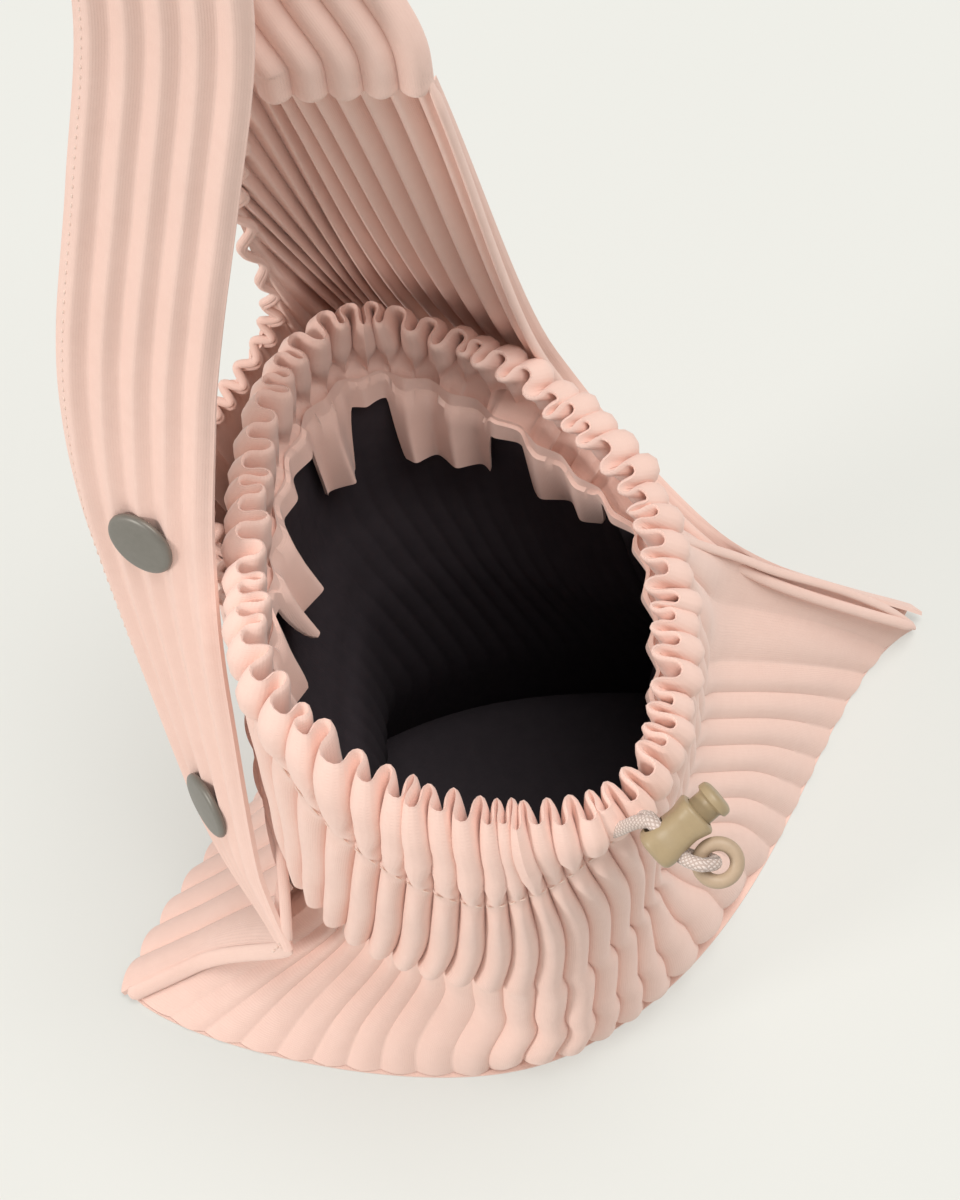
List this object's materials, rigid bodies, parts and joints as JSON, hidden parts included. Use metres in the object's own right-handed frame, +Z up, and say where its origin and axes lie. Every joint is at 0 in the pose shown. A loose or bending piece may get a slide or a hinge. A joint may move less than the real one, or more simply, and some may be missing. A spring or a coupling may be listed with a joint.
{
  "type": "pleated drawstring crossbody bag",
  "caption": "Pleated fabric pouch with a lens-shaped base, a gathered drawstring mouth with a cord lock and ring, a back pocket panel and a ribbed shoulder strap with snap caps.",
  "frame": {"origin": "on the floor under the base panel, halfway between the two tips of the base", "axes": "+X to the right tip of the base, -Y to the front of the pouch, +Z up along the strap"},
  "size_m": [0.2433, 0.1865, 0.4327],
  "materials": {
    "cloth": "matte pleated woven cloth, blush pink",
    "lining": "matte black lining",
    "cord": "braided elastic, taupe",
    "lock": "satin khaki",
    "ring": "satin tan",
    "snap": "satin grey taupe"
  },
  "bodies": {
    "bag": {"base_panel": "cloth", "pouch_wall": "cloth", "lining": "lining", "back_panel": "cloth", "strap": "cloth", "snap_cap_upper": "snap", "snap_cap_lower": "snap", "drawcord": "cord", "cord_lock": "lock", "cord_ring": "ring"},
    "lock_button": {"lock_button": "lock"}
  },
  "joints": [
    {"name": "lock_button_press", "type": "slide", "parent": "bag", "child": "lock_button", "axis": [-0.9095, -0.1061, -0.4019], "range_m": [0, 0.0032], "stiffness_N_per_m": 300}
  ]
}
